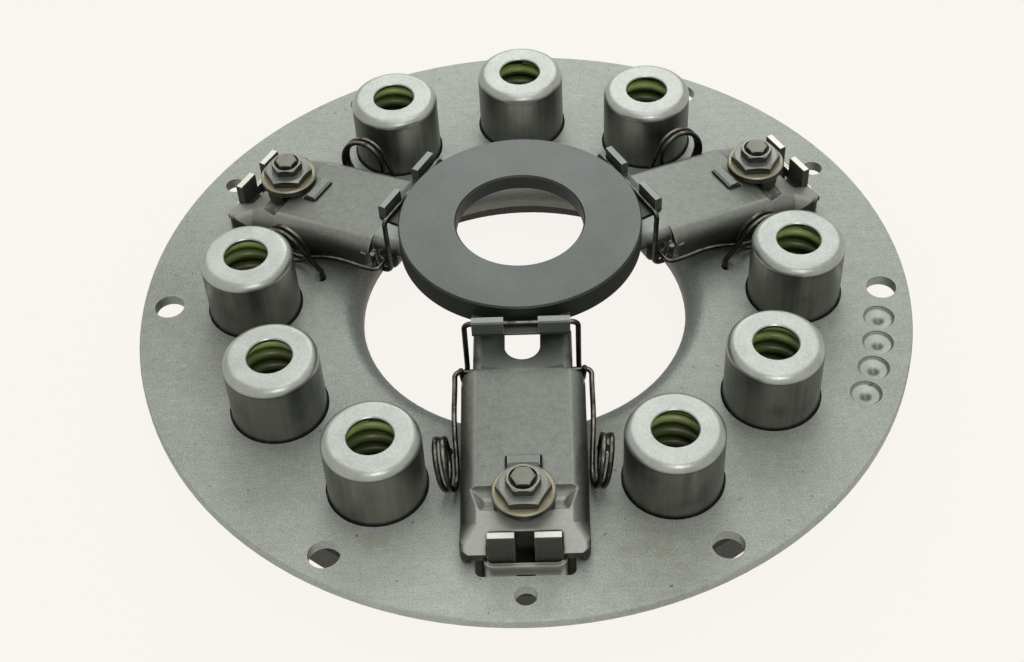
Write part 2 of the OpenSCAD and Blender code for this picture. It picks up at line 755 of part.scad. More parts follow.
// Notch and slot in the web, rocker groove with its bolt hole, end notch and ear holes
module lever_cuts() {
    tip_notch_half = 6.5;
    tip_notch_r = 52.5;
    low = -cut;
    high = tip_z + 3 * cut;
    translate([0, 0, low]) linear_extrude(high - low) {
        translate([tip_notch_r - tip_notch_half, 0]) circle(tip_notch_half);
        translate([lever_tip_r - cut, -tip_notch_half])
            square([tip_notch_r - tip_notch_half - lever_tip_r + cut, 2 * tip_notch_half]);
        round_rect(fulcrum_r - tongue_t / 2 - 0.6, fulcrum_r + tongue_t / 2 + 1.3, tab_half + 0.7, 0.8);
        round_rect(notch_r, lever_end_r + 10, notch_half, 1.5);
        translate([bolt_r, 0]) circle(d = lever_hole_d);
    }
    groove_cut();
    translate([ear_r, 0, ear_z]) rotate([90, 0, 0])
        cylinder(h = 2 * neck_half + 2 * cut, d = ear_hole_d, center = true);
}

// Rocker groove with sloping ends
module groove_cut() {
    run = groove_end_run / groove_sink;
    high = groove_sink + 3;
    intersection() {
        translate([bolt_r, 0, groove_z + groove_r]) rotate([90, 0, 0])
            cylinder(h = 2 * channel_half + 2 * cut, r = groove_r, center = true);
        translate([bolt_r - groove_r - cut, 0, groove_z]) rotate([90, 0, 90])
            linear_extrude(2 * groove_r + 2 * cut) polygon([
                [-groove_half + run * cut, -cut], [groove_half - run * cut, -cut],
                [groove_half + run * high, high], [-groove_half - run * high, high]
            ]);
    }
}

// Machined ring with a bail lug and a contact rib at each lever
module release_ring() {
    edge = 0.6;
    recess = 6;
    bore_r = ring_bore_d / 2;
    color("dimgray") {
        rotate_extrude() polygon([
            [bore_r + recess, ring_z], [ring_r - edge, ring_z], [ring_r, ring_z + edge],
            [ring_r, ring_top_z - edge], [ring_r - edge, ring_top_z], [bore_r + edge, ring_top_z],
            [bore_r, ring_top_z - edge], [bore_r, ring_top_z - bore_land]
        ]);
        for (i = [1:LEVERS]) at_lever(i) {
            bail_lug();
            contact_rib();
        }
    }
}

// Shelf for the bail's bar, and a lip that is cut away in its middle
module bail_lug() {
    outer = lip_r + lip_t;
    inner = ring_r - 8;
    difference() {
        across(lip_half) polygon([
            [inner, lug_floor_z], [outer - 1, lug_floor_z], [outer, lug_floor_z + 1],
            [outer, lip_top_z - 0.5], [outer - 0.5, lip_top_z], [lip_r, lip_top_z],
            [lip_r, groove_floor_z], [inner, groove_floor_z]
        ]);
        translate([lip_r - cut, -lip_gap_half, groove_floor_z])
            cube([lip_t + 2 * cut, 2 * lip_gap_half, 20]);
    }
}

module contact_rib() {
    rounding = 2;
    rib_z = tip_z + 0.35;
    across(rib_half) {
        translate([rib_r, rib_z + rounding]) circle(rounding);
        translate([rib_r - rounding, rib_z + rounding])
            square([2 * rounding, ring_z + 1 - rib_z - rounding]);
    }
}

// Wire bail: bar in the ring's groove, a leg down each side, and hooks round the torsion springs' ends
module ring_bail() {
    hook_in = eyelet[0] - hook_r;
    hook_out = eyelet[0] + hook_r;
    hook_z = eyelet[1] - hook_r + 0.6;
    stub_z = eyelet[1] + 4;
    half = [
        [bar_r, 0, bar_z], [bar_r, leg_s, bar_z], [hook_in, leg_s, hook_z], [hook_out, leg_s, hook_z],
        [hook_out, leg_s, stub_z]
    ];
    right = wire_path(half, 2.4);
    left = [for (i = [len(right) - 1:-1:1]) [right[i][0], -right[i][1], right[i][2]]];
    color("dimgray") wire(concat(left, right), wire_r, wire_sides);
}

// Torsion spring on the lever's left: leg in the ear, coil beside the channel, leg into the cover
module torsion_spring() {
    steps = 14;
    inner_s = neck_half - lever_t - 1.5;
    leg_start = [eyelet[0], inner_s, eyelet[1]];
    leg_turn = [eyelet[0], torsion_leg_s, eyelet[1]];
    start_turn = -16 / 360;
    end_turn = 1 + 238 / 360;
    count = round((end_turn - start_turn) * steps);
    coil = [for (i = [0:count])
        let (t = start_turn + (end_turn - start_turn) * i / count)
        [
            torsion_mid[0] + torsion_r * sin(360 * t),
            torsion_s + torsion_pitch * t + torsion_lean * (1 - cos(360 * t)) / 2,
            torsion_mid[1] - torsion_r * cos(360 * t)
        ]];
    leg = [
        coil[count], [wire_end_r, wire_hole[1], cover_t + 3.6], [wire_end_r, wire_hole[1], wire_end_z]
    ];
    lower = wire_path([leg_start, leg_turn, coil[0]], 2.2);
    color("dimgray") wire(concat(
        [for (i = [0:len(lower) - 2]) lower[i]],
        coil,
        rounded(leg[0], leg[1], leg[2], 2.2, 3),
        [leg[2]]
    ), wire_r, wire_sides);
}

cover_plate();
for (i = [1:SPRINGS]) at_spring(i) spring_cup();
for (i = [1:SPRINGS])
    at_spring(i) rotate([0, 0, spring_tips[i - 1] - spring_angles[i - 1]]) pressure_spring();
pressure_plate();
for (i = [1:LEVERS]) at_lever(i) lug_leaf();
for (i = [1:LEVERS]) at_lever(i) bolt_pin();
for (i = [1:LEVERS]) at_lever(i) lever_bolt();
for (i = [1:LEVERS]) at_lever(i) lever_nut();
for (i = [1:LEVERS]) at_lever(i) lever_washer();
for (i = [1:LEVERS]) at_lever(i) release_lever();
release_ring();
for (i = [1:LEVERS]) at_lever(i) ring_bail();
for (i = [1:LEVERS], side = [0, 1])
    at_lever(i) mirror([0, side, 0]) torsion_spring();
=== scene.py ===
import math

import bpy
from mathutils import Matrix, Vector


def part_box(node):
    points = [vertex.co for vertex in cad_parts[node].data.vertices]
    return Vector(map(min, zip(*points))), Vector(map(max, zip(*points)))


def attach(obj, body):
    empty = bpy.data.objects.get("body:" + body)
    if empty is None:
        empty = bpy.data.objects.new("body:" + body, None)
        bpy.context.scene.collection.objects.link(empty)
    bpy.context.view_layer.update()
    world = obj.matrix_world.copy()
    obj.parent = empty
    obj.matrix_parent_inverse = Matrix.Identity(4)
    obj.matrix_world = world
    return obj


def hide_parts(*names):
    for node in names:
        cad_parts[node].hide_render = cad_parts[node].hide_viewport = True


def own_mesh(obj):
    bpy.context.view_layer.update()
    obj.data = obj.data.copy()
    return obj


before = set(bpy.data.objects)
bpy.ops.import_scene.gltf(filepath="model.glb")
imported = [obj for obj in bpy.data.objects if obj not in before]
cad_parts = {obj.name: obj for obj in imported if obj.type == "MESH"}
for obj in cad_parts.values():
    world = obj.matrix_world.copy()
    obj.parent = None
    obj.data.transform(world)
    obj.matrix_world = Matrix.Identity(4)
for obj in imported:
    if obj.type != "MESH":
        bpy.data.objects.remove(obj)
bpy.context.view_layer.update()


# Camera. It stands in front of the first lever and looks down at about 47 degrees, as the photograph does.
# Distances are in metres and were fitted to the cover's outline and its holes.
azimuth, elevation, roll = math.radians(2.2915), math.radians(47.142), math.radians(-3.2515)
focal_pixels, picture_width, sensor_width = 1721.98, 1024, 36
eye_distance, eye_right, eye_up = 0.67842, -0.004675, -0.010287
outward = math.cos(elevation)
back = Vector((math.sin(azimuth) * outward, -math.cos(azimuth) * outward, math.sin(elevation)))
level = Vector((math.cos(azimuth), math.sin(azimuth), 0))
upright = back.cross(level)
right = math.cos(roll) * level + math.sin(roll) * upright
upward = math.cos(roll) * upright - math.sin(roll) * level
eye = eye_distance * back + eye_right * right + eye_up * upward

bpy.ops.object.select_all(action="DESELECT")
bpy.ops.object.camera_add()
camera = bpy.context.object
camera.name = "photo_camera"
camera.matrix_world = Matrix.Translation(eye) @ Matrix((right, upward, back)).transposed().to_4x4()
camera.data.sensor_width = sensor_width
camera.data.lens = focal_pixels / picture_width * sensor_width
camera.data.clip_start = 0.01
bpy.context.scene.camera = camera


# Studio. A pale table top under the friction face, three soft boxes and an even pale room.
# The room and the table look as pale to the camera and to bright metal as the photograph's background.
class Signal:
    """A socket's value over a surface. Arithmetic adds Math nodes, and node() adds any other node."""

    def __init__(self, tree, socket):
        self.tree, self.socket = tree, socket

    def node(self, kind, settings, sockets, output=0):
        made = self.tree.nodes.new(kind)
        for name, value in settings.items():
            setattr(made, name, value)
        for name, value in sockets.items():
            if isinstance(value, Signal):
                self.tree.links.new(value.socket, made.inputs[name])
            else:
                made.inputs[name].default_value = value
        return Signal(self.tree, made.outputs[output] if len(made.outputs) else None)

    def math(self, operation, first, second):
        return self.node("ShaderNodeMath", {"operation": operation}, {0: first, 1: second})

    def __add__(self, other):
        return self.math("ADD", self, other)

    def __sub__(self, other):
        return self.math("SUBTRACT", self, other)

    def __rsub__(self, other):
        return self.math("SUBTRACT", other, self)

    def __mul__(self, other):
        return self.math("MULTIPLY", self, other)

    __radd__ = __add__
    __rmul__ = __mul__


def empty_tree(owner):
    """A signal to start from, in the cleared node tree of a material or a world."""
    owner.use_nodes = True
    owner.node_tree.nodes.clear()
    return Signal(owner.node_tree, None)


def seen(start):
    """1 to the camera and in what metal or glass shows of the room, 0 to the light on the object."""
    camera_ray = start.node("ShaderNodeLightPath", {}, {}, "Is Camera Ray")
    glossy_ray = start.node("ShaderNodeLightPath", {}, {}, "Is Glossy Ray")
    clear_ray = start.node("ShaderNodeLightPath", {}, {}, "Is Transmission Ray")
    return 1 - (1 - camera_ray) * (1 - glossy_ray) * (1 - clear_ray)


def tone(red, green, blue):
    """A colour as it looks on screen, 0 to 255, in the linear numbers that a shader takes."""
    shares = [level / 255 for level in (red, green, blue)]
    return (*[s / 12.92 if s <= 0.04045 else ((s + 0.055) / 1.055) ** 2.4 for s in shares], 1)


backdrop, white = tone(250, 246, 241), (1, 1, 1, 1)
room_strength = 0.5
room = bpy.data.worlds.new("studio_room")
bpy.context.scene.world = room
start = empty_tree(room)
even_light = start.node("ShaderNodeBackground", {}, {"Color": white, "Strength": room_strength})
pale_room = start.node("ShaderNodeBackground", {}, {"Color": backdrop, "Strength": 1})
room_look = start.node("ShaderNodeMixShader", {}, {0: seen(start), 1: even_light, 2: pale_room})
start.node("ShaderNodeOutputWorld", {}, {"Surface": room_look})

soft_boxes = {
    "soft_box_top": {"place": (0.15, 0.1, 1.5), "size": 1.0, "power": 4.6},
    "soft_box_back": {"place": (0.05, 1.2, 0.85), "size": 0.7, "power": 4.4},
    "soft_box_front": {"place": (0.2, -1.05, 1.1), "size": 0.45, "power": 4.0},
}
for name, box in soft_boxes.items():
    bpy.ops.object.light_add(type="AREA", location=box["place"])
    lamp = bpy.context.object
    lamp.name = name
    lamp.data.size = box["size"]
    lamp.data.energy = box["power"]
    lamp.rotation_euler = Vector(box["place"]).to_track_quat("Z", "Y").to_euler()

table_size, table_gap, table_glow = 8, 0.0002, 0.95
table_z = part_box("pressure_plate")[0].z
bpy.ops.object.select_all(action="DESELECT")
bpy.ops.mesh.primitive_plane_add(size=table_size, location=(0, 0, table_z - table_gap))
table = bpy.context.object
table.name = "table_top"
table_paint = bpy.data.materials.new("pale_table")
start = empty_tree(table_paint)
paper = start.node("ShaderNodeBsdfDiffuse", {}, {"Color": backdrop})
glow = start.node("ShaderNodeEmission", {}, {"Color": backdrop, "Strength": 1})
surface = start.node("ShaderNodeMixShader", {}, {0: seen(start) * table_glow, 1: paper, 2: glow})
start.node("ShaderNodeOutputMaterial", {}, {"Surface": surface})
table.data.materials.append(table_paint)


# Cover. Pressed from sheet steel about 4.6 mm thick, with a rolled neck, and phosphated to a matt grey-green.
# Storage has left it with a fine mottle, small nicks and a few brownish oil stains near the front edge.
# Four dimples, each with a pit in its middle, are punched into it in a row on one side.
class Finish:
    """A piece's material: a Principled shader, and the patterns that vary it, all in metres on the piece."""

    def __init__(self, name):
        self.material = bpy.data.materials.new(name)
        self.start = empty_tree(self.material)
        self.place = self.start.node("ShaderNodeTexCoord", {}, {}, "Object")
        self.normal = self.start.node("ShaderNodeNewGeometry", {}, {}, "Normal")
        self.height = self.part(self.place, "Z")
        self.facing_up = self.part(self.normal, "Z")

    def part(self, vector, axis):
        return self.start.node("ShaderNodeSeparateXYZ", {}, {0: vector}, "XYZ".index(axis))

    def noise(self, scale, detail=3.0, stretch=(1, 1, 1), turn=0.0):
        laid = self.start.node(
            "ShaderNodeMapping", {}, {"Vector": self.place, "Rotation": (0, 0, turn), "Scale": stretch})
        return self.start.node("ShaderNodeTexNoise", {}, {"Vector": laid, "Scale": scale, "Detail": detail})

    def rings(self, scale, detail):
        """Noise in circles round the axis, as a lathe tool or a grinding wheel leaves it."""
        return self.start.node(
            "ShaderNodeTexNoise", {"noise_dimensions": "1D"},
            {"W": self.away(), "Scale": scale, "Detail": detail})

    def step(self, signal, low, high):
        """0 at low, 1 at high and smooth between them; low may be the larger of the two."""
        return self.start.node(
            "ShaderNodeMapRange", {"interpolation_type": "SMOOTHSTEP"}, {0: signal, 1: low, 2: high})

    def mix(self, share, first, second):
        return self.start.node(
            "ShaderNodeMix", {"data_type": "RGBA"}, {0: share, 6: first, 7: second}, 2)

    def shade(self, color, amount):
        """The colour made lighter or darker by a number around 1."""
        grey = self.start.node("ShaderNodeCombineColor", {}, {0: amount, 1: amount, 2: amount})
        return self.start.node(
            "ShaderNodeMix", {"data_type": "RGBA", "blend_type": "MULTIPLY"}, {0: 1.0, 6: color, 7: grey}, 2)

    def rounded_normal(self, radius):
        return self.start.node("ShaderNodeBevel", {"samples": 6}, {"Radius": radius})

    def edges(self, radius, low=0.02, high=0.16):
        """1 along the piece's corners, within radius of the edge; colour laid there is partly polish from
        handling and tumbling and partly a painted highlight.
        """
        along = self.start.node(
            "ShaderNodeVectorMath", {"operation": "DOT_PRODUCT"},
            {0: self.rounded_normal(radius), 1: self.normal}, "Value")
        return self.step(1 - along, low, high)

    def away(self, x=0.0, y=0.0):
        """Distance from an upright line through a point of the plan."""
        flat = self.start.node(
            "ShaderNodeVectorMath", {"operation": "MULTIPLY"}, {0: self.place, 1: (1, 1, 0)})
        return self.start.node(
            "ShaderNodeVectorMath", {"operation": "DISTANCE"}, {0: flat, 1: (x, y, 0)}, "Value")

    def spot(self, x, y, radius):
        """1 at a point of the plan and 0 from radius outwards."""
        return self.step(self.away(x, y), radius, 0)

    def bump(self, height, depth, corner=0.0):
        """The pattern's relief, over a surface whose corners look rounded by corner metres."""
        sockets = {"Strength": 1.0, "Distance": depth, "Height": height}
        if corner:
            sockets["Normal"] = self.rounded_normal(corner)
        return self.start.node("ShaderNodeBump", {}, sockets, "Normal")

    def surface(self, **sockets):
        """The Principled shader that the piece shows, with base_color for its socket Base Color and so on."""
        named = {name.replace("_", " ").title(): value for name, value in sockets.items()}
        shader = self.start.node("ShaderNodeBsdfPrincipled", {}, named)
        self.start.node("ShaderNodeOutputMaterial", {}, {"Surface": shader})

    def paint(self, piece):
        piece.data.materials.clear()
        piece.data.materials.append(self.material)

    def paint_three(self, stem):
        """The finish goes on the piece of this name at each of the three levers."""
        for number in (1, 2, 3):
            self.paint(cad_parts[f"{stem}_{number}"])


cover_finish = Finish("phosphated_cover")
clouds = cover_finish.noise(24, 5)
mottle = cover_finish.noise(330, 4)
grain = cover_finish.noise(1500, 3)
drag = cover_finish.noise(800, 2, (0.07, 1, 1), 0.1)
rolling = cover_finish.noise(260, 3, (1, 1, 9))
pits = cover_finish.step(cover_finish.noise(420, 1), 0.75, 0.8)
nicks = cover_finish.step(cover_finish.noise(60, 2, (1, 14, 1), 0.6), 0.73, 0.77)
nicks = nicks + cover_finish.step(cover_finish.noise(75, 2, (13, 1, 1), 0.25), 0.74, 0.78)
# Painted light: a paler patch over the front of the cover; painted shade: a darker patch over its left side.
paler = cover_finish.spot(-0.035, -0.135, 0.085)
darker = cover_finish.spot(-0.145, 0.0, 0.075)
stain_spots = [(0.045, -0.128, 0.03, 1.0), (0.012, -0.112, 0.013, 0.7), (-0.052, -0.116, 0.012, 1.0)]
stains = 0
for x, y, radius, strength in stain_spots:
    stains = stains + cover_finish.spot(x, y, radius) * strength
stains = stains * cover_finish.step(cover_finish.noise(150, 6), 0.5, 0.66)

dimple_circle, dimple_angles = 0.1372, (-6.7, -12.2, -17.7, -23.2)
outside_dimple, outside_pit = 1, 1
for degrees in dimple_angles:
    angle = math.radians(degrees)
    from_middle = cover_finish.away(dimple_circle * math.cos(angle), dimple_circle * math.sin(angle))
    outside_dimple = outside_dimple * cover_finish.step(from_middle, 0.0048, 0.0062)
    outside_pit = outside_pit * cover_finish.step(from_middle, 0.0004, 0.0026)

neck_bore_r, neck_bend_end_r = 0.0655, 0.0715
facing_up = cover_finish.facing_up
neck = cover_finish.step(cover_finish.away(), neck_bend_end_r, neck_bore_r)
neck = neck * (1 - cover_finish.step(facing_up, 0.1, 0.95))
neck_wall = cover_finish.step(facing_up, 0.4, 0.05)
tab_foot_z, tab_clear_z = 0.0052, 0.0062
tab = cover_finish.step(cover_finish.height, tab_foot_z, tab_clear_z)
tab_side = tab * (1 - cover_finish.step(facing_up, 0.3, 0.8))

speckle = clouds * 0.36 + mottle * 0.32 + grain * 1.14 + drag * 0.16
sheet = cover_finish.shade(tone(148, 154, 147), speckle + paler * 0.2 - darker * 0.16)
# Painted highlight in each dimple's bowl and painted shade in its pit.
sheet = cover_finish.mix((1 - outside_dimple) * outside_pit * 0.45, sheet, tone(196, 201, 195))
sheet = cover_finish.mix((1 - outside_pit) * 0.6, sheet, tone(84, 87, 80))
# The rolled neck is painted dark as shade, its steep inner wall a little lighter; the rolling streaks over it
# are the sheet's own.
rolled = cover_finish.mix(neck_wall, tone(84, 84, 77), tone(114, 114, 105))
sheet = cover_finish.mix(neck * 0.8, sheet, cover_finish.shade(rolled, 0.4 + rolling * 1.1))
# The tabs are darker, and their upright sides are painted near black as shade.
sheet = cover_finish.mix(tab * 0.6, sheet, cover_finish.shade(tone(106, 111, 105), 0.5 + grain))
sheet = cover_finish.mix(tab_side * 0.85, sheet, cover_finish.shade(tone(56, 57, 52), 0.5 + grain))
sheet = cover_finish.mix(stains * 0.32, sheet, tone(138, 122, 88))
sheet = cover_finish.mix(pits * 0.6, sheet, tone(74, 74, 67))
sheet = cover_finish.mix(nicks * 0.22, sheet, tone(214, 219, 214))
# Edges lighter: partly polish, partly a painted highlight.
sheet = cover_finish.mix(cover_finish.edges(0.0006) * 0.4, sheet, tone(196, 201, 195))
relief = grain * 0.6 + mottle * 0.3 + drag * 0.2 - pits * 1.5 + outside_dimple * 9.0 + outside_pit * 6.0
cover_finish.surface(
    base_color=sheet,
    metallic=0.6,
    roughness=0.4 + clouds * 0.12 + grain * 0.16,
    normal=cover_finish.bump(relief, 0.00012),
)
cover_finish.paint(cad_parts["cover_plate"])


# Spring cups. Nine cups deep-drawn from 1.4 mm sheet and pushed up through the cover from below.
# The tops are flat and the walls show the upright score lines; tops, shoulders and walls are painted from
# light to dark as painted light and painted shade.
spring_circle = 0.1053
spring_angles = [math.radians(30 * k + 120 * i - 30) for i in range(3) for k in (-1, 0, 1)]
spring_centres = [(spring_circle * math.cos(a), spring_circle * math.sin(a)) for a in spring_angles]
cup_top_z, cup_ceiling_z, cup_bore_r = 0.0323, 0.0309, 0.0163
line_low_z, line_high_z, line_fade = 0.0284, 0.0291, 0.0003
for number, (x, y) in enumerate(spring_centres, 1):
    cup_finish = Finish(f"drawn_cup_{number}")
    height, facing_up = cup_finish.height, cup_finish.facing_up
    flat_top = cup_finish.step(facing_up, 0.93, 0.995)
    flat_top = flat_top * cup_finish.step(height, cup_top_z - 0.0011, cup_top_z - 0.0005)
    shoulder = cup_finish.step(facing_up, 0.02, 0.3)
    # A painted dark line of shade where the shoulder meets the wall.
    painted_tangent_shade = cup_finish.step(height, line_low_z, line_low_z + line_fade)
    painted_tangent_shade = painted_tangent_shade * cup_finish.step(height, line_high_z, line_high_z - line_fade)
    # The inside of the cup is painted near black as shade.
    inside = cup_finish.step(cup_finish.away(x, y), cup_bore_r + 0.0006, cup_bore_r)
    inside = inside * cup_finish.step(height, cup_ceiling_z, cup_ceiling_z - 0.0003)
    score_lines = cup_finish.noise(620, 3, (1, 1, 0.03))
    bands = cup_finish.noise(70, 3, (1, 1, 0.2))
    smudges = cup_finish.noise(110, 5)
    fine = cup_finish.noise(1900, 3)
    streaks = bands * 1.1 + smudges * 1.0 + score_lines * 0.6 - 0.35
    # Walls, shoulders and tops of one sheet are painted from dark to light as painted shade and painted
    # light.
    wall = cup_finish.shade(tone(114, 116, 110), streaks)
    wall = cup_finish.mix(cup_finish.step(smudges, 0.45, 0.7) * 0.45, wall, tone(112, 103, 90))
    curve = cup_finish.shade(tone(152, 157, 152), 0.45 + smudges * 0.7 + fine * 0.4)
    wall = cup_finish.mix(shoulder, wall, curve)
    wall = cup_finish.mix(painted_tangent_shade * 0.55, wall, tone(58, 58, 54))
    lid = cup_finish.shade(tone(171, 177, 172), 0.4 + smudges * 0.5 + fine * 0.7)
    skin = cup_finish.mix(flat_top, wall, lid)
    # Corners lighter: partly polish, partly a painted highlight.
    skin = cup_finish.mix(cup_finish.edges(0.0005, 0.05, 0.25) * 0.5, skin, tone(222, 226, 222))
    skin = cup_finish.mix(inside, skin, tone(44, 46, 40))
    cup_finish.surface(
        base_color=skin,
        metallic=0.9,
        roughness=0.24 + flat_top * 0.2 + score_lines * 0.12 + smudges * 0.08,
        normal=cup_finish.bump(score_lines * (1 - flat_top) + fine * 0.35, 0.00006),
    )
    cup_finish.paint(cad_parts[f"spring_cup_{number}"])


# Pressure springs. Nine coil springs of 4.8 mm wire, closed at both ends and lacquered olive green.
# Each stands on the pressure plate inside its cup and is seen through the hole in the cup's top.
def bent_wire(name, points, thickness):
    """A round wire along a line of points, with closed ends."""
    bpy.ops.object.select_all(action="DESELECT")
    bpy.ops.curve.primitive_nurbs_path_add()
    path = bpy.context.object
    path.name = name
    path.data.splines.clear()
    line = path.data.splines.new("POLY")
    line.points.add(len(points) - 1)
    for point, place in zip(line.points, points):
        point.co = (*place, 1)
    path.data.twist_mode = "MINIMUM"
    path.data.bevel_depth = thickness / 2
    path.data.bevel_resolution = 4
    path.data.use_fill_caps = True
    bpy.ops.object.convert(target="MESH")
    bpy.ops.object.mode_set(mode="EDIT")
    bpy.ops.mesh.select_all(action="SELECT")
    bpy.ops.mesh.remove_doubles(threshold=0.00001)
    bpy.ops.mesh.normals_make_consistent(inside=False)
    bpy.ops.object.mode_set(mode="OBJECT")
    bpy.ops.object.shade_smooth_by_angle(angle=math.radians(50))
    return bpy.context.object


lacquer = Finish("green_lacquer")
thin_spots = lacquer.noise(140, 4)
dust = lacquer.noise(900, 3)
# The coils' undersides and the turns deep in the cup are painted dark as shade.
underside = lacquer.step(lacquer.facing_up, 0.45, -0.15)
lit_z, buried_z = 0.0262, 0.0205
buried = lacquer.step(lacquer.height, lit_z, buried_z)
green = lacquer.mix(lacquer.step(thin_spots, 0.35, 0.7), tone(180, 198, 112), tone(150, 172, 86))
green = lacquer.mix(lacquer.step(dust, 0.62, 0.75) * 0.4, green, tone(104, 118, 60))
green = lacquer.mix(underside * 0.85, green, tone(52, 62, 28))
green = lacquer.mix(buried * 0.8, green, tone(44, 52, 24))
lacquer.surface(
    base_color=green,
    metallic=0.0,
    roughness=0.38 + thin_spots * 0.2,
    coat_weight=0.3,
    coat_roughness=0.25,
    normal=lacquer.bump(dust, 0.00004),
)

spring_wire, spring_turns, spring_mean_r, spring_steps = 0.0048, 5.8, 0.01275, 279
spring_foot, spring_head, closed_rise = -0.00945, 0.03085, 0.0049
reach = spring_head - spring_foot - spring_wire
spring_line = []
for step in range(spring_steps + 1):
    turn = spring_turns * step / spring_steps
    if turn < 1:
        rise = closed_rise * turn
    elif turn > spring_turns - 1:
        rise = reach - closed_rise * (spring_turns - turn)
    else:
        rise = closed_rise + (reach - 2 * closed_rise) * (turn - 1) / (spring_turns - 2)
    spring_line.append((
        spring_mean_r * math.cos(math.tau * (turn - spring_turns)),
        spring_mean_r * math.sin(math.tau * (turn - spring_turns)),
        spring_foot + spring_wire / 2 + rise))

# Each spring's wire ends at the top at its own angle, as seen through the holes in the photograph.
wire_ends = [math.radians(a) for a in (126, 162, 72, 54, 83, 306, 270, 288, 97)]
for number, (wire_end, (x, y)) in enumerate(zip(wire_ends, spring_centres), 1):
    spring = bent_wire(f"coil_spring_{number}", spring_line, spring_wire)
    spring.data.transform(Matrix.Translation((x, y, 0)) @ Matrix.Rotation(wire_end, 4, "Z"))
    lacquer.paint(spring)
    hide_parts(f"pressure_spring_{number}")
    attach(spring, "cover")
    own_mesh(spring)


# Pressure plate. Grey cast iron: the lugs and the flank stay as cast and dark, with the sand's grain.
# The friction face and the back are turned, and the prongs' tops are milled bright.
casting = Finish("cast_iron")
plate_back_z, prong_top_z = -0.0095, 0.0199
sand = casting.noise(1100, 5)
lumps = casting.noise(190, 4)
lathe = casting.rings(2600.0, 3.0)
levelness = casting.facing_up * casting.facing_up
milled = casting.step(levelness, 0.9, 0.98)
milled = milled * casting.step(casting.height, prong_top_z - 0.0013, prong_top_z - 0.0007)
turned_face = casting.step(casting.height, plate_back_z + 0.0006, plate_back_z + 0.0001)
turned_face = turned_face * casting.step(levelness, 0.5, 0.9)
iron = casting.shade(tone(66, 66, 61), sand * 1.7 + lumps * 0.3)
turned = casting.shade(tone(166, 164, 150), 0.8 + lathe * 0.25 + lumps * 0.15)
iron = casting.mix(turned_face, iron, turned)
iron = casting.mix(milled, iron, casting.shade(tone(214, 213, 203), 0.8 + sand * 0.3))
# Edges lighter: partly polish, partly a painted highlight.
iron = casting.mix(casting.edges(0.0005) * (1 - milled) * 0.45, iron, tone(150, 149, 140))
relief = (sand * 0.8 + lumps * 0.5) * (1 - turned_face) * (1 - milled) + lathe * turned_face * 0.5
casting.surface(
    base_color=iron,
    metallic=0.5,
    roughness=0.62 - turned_face * 0.22 - milled * 0.25 + sand * 0.1,
    normal=casting.bump(relief, 0.00018, 0.0004),
)
casting.paint(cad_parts["pressure_plate"])


# Release levers. Pressed channels of 4 mm sheet, tumbled and phosphated: dark grey, with edges partly
# polished and partly given a painted highlight.
# The web is painted lighter as painted light on the rear levers and towards the front lever's tip, with a
# painted shadow of the ring under it; the sides are painted dark as shade, darkest towards their lower edge,
# with a painted highlight along the bend.
lever_finish = Finish("phosphated_lever")
web_light_r, tip_light_r, ring_shadow_r = (0.08, 0.06), (0.0578, 0.0566), (0.0525, 0.0435)
flank_high_z, flank_low_z = 0.0185, 0.0105
blotches = lever_finish.noise(40, 6)
speckle = lever_finish.noise(420, 4)
fine = lever_finish.noise(1700, 3)
from_axis, facing_up = lever_finish.away(), lever_finish.facing_up
flank = 1 - lever_finish.step(facing_up, 0.25, 0.95)
lower_edge = lever_finish.step(lever_finish.height, flank_high_z, flank_low_z)
bend_line = lever_finish.step(facing_up, 0.84, 0.93) * lever_finish.step(facing_up, 0.984, 0.965)
# Painted light: the rear levers lighter all over, and the front lever's web lighter towards its tip.
rear_levers = lever_finish.step(lever_finish.part(lever_finish.place, "Y"), -0.04, 0.03)
painted_light = lever_finish.step(from_axis, *web_light_r) * 0.2
painted_light = painted_light + lever_finish.step(from_axis, *tip_light_r) * lever_finish.step(facing_up, 0.9, 0.97)
# Painted shadow of the ring on the lever's tip.
painted_ring_shadow = lever_finish.step(from_axis, *ring_shadow_r) * lever_finish.step(blotches, 0.3, 0.55)
wear_and_painted_light = 0.02 + blotches * 0.45 + speckle * 0.6 + fine * 0.9 + rear_levers * 0.18 + painted_light * (1 - rear_levers)
steel = lever_finish.shade(tone(113, 118, 112), wear_and_painted_light)
# The sides are painted dark as shade, darkest towards their lower edge.
painted_flank_shade = lever_finish.shade(tone(62, 62, 57), 0.5 + speckle * 0.6 + fine * 0.4)
steel = lever_finish.mix(flank * 0.88, steel, painted_flank_shade)
# Painted highlight along the bend between web and side.
steel = lever_finish.mix(bend_line * 0.4, steel, tone(176, 178, 170))
steel = lever_finish.mix(flank * lower_edge * 0.85, steel, tone(38, 38, 34))
steel = lever_finish.mix(painted_ring_shadow * 0.85, steel, tone(54, 57, 51))
# Edges lighter: partly polish, partly a painted highlight.
steel = lever_finish.mix(lever_finish.edges(0.0008, 0.02, 0.14) * 0.45, steel, tone(196, 199, 192))
lever_finish.surface(
    base_color=steel,
    metallic=0.75,
    roughness=0.32 + blotches * 0.12 + fine * 0.14,
    normal=lever_finish.bump(speckle * 0.7 + fine * 0.4, 0.0001, 0.0012),
)
lever_finish.paint_three("release_lever")


# Lug leaves. A spring-steel strip clasps each lug's outer end over the ends of the cross pin.
# It is bent from bright-rolled strip, so its face is smooth grey, with a painted highlight along its rolled
# edges.
leaf_finish = Finish("leaf_strip")
strip_grain = leaf_finish.noise(900, 3, (1, 1, 6))
strip = leaf_finish.shade(tone(164, 164, 157), 0.5 + leaf_finish.noise(120, 4) * 0.5 + strip_grain * 0.3)
